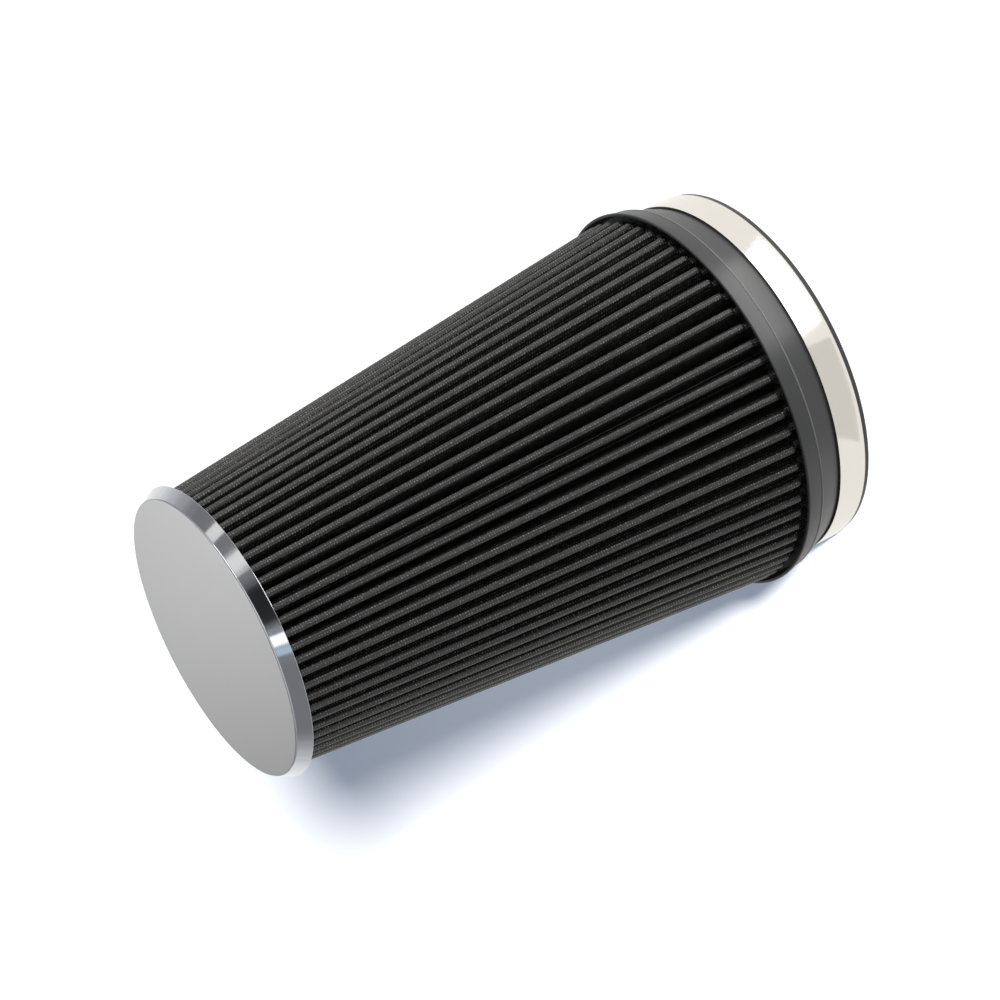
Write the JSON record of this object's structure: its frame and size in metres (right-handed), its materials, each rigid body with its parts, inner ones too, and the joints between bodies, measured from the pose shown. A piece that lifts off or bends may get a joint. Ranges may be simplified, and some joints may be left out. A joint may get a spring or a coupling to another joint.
{
  "type": "performance air filter",
  "caption": "Conical clamp-on air filter: pleated wire-screened element between a drawn metal end cap and a moulded flange, held to an intake pipe by a worm drive band clamp.",
  "frame": {"origin": "centre of the open mouth's end face, on the filter's axis", "axes": "+Z along the filter's axis from the mouth to the end cap; +Y towards the clamp's worm housing; +X along the worm towards its hexagon head"},
  "size_m": [0.1448, 0.1503, 0.228],
  "materials": {
    "flange_rubber": "satin grey moulded urethane",
    "media_fabric": "matt black synthetic filter medium",
    "screen_metal": "black epoxy-coated woven wire",
    "seam_metal": "crimped plain strip",
    "potting_rubber": "cast urethane",
    "cap_metal": "satin face and polished skirt",
    "clamp_steel": "polished stainless"
  },
  "bodies": {
    "filter": {"base_flange": "flange_rubber", "filter_media": "media_fabric", "outer_screen": "screen_metal", "inner_screen": "screen_metal", "seam_clip": "seam_metal", "cap_potting": "potting_rubber", "end_cap": "cap_metal", "clamp_band": "clamp_steel", "clamp_saddle": "clamp_steel", "clamp_housing": "clamp_steel"},
    "worm": {"clamp_screw": "clamp_steel"}
  },
  "joints": [
    {"name": "screw_turn", "type": "hinge", "parent": "filter", "child": "worm", "pos_m": [0, 0.073, 0.0075], "axis": [1, 0, 0], "continuous": true}
  ]
}
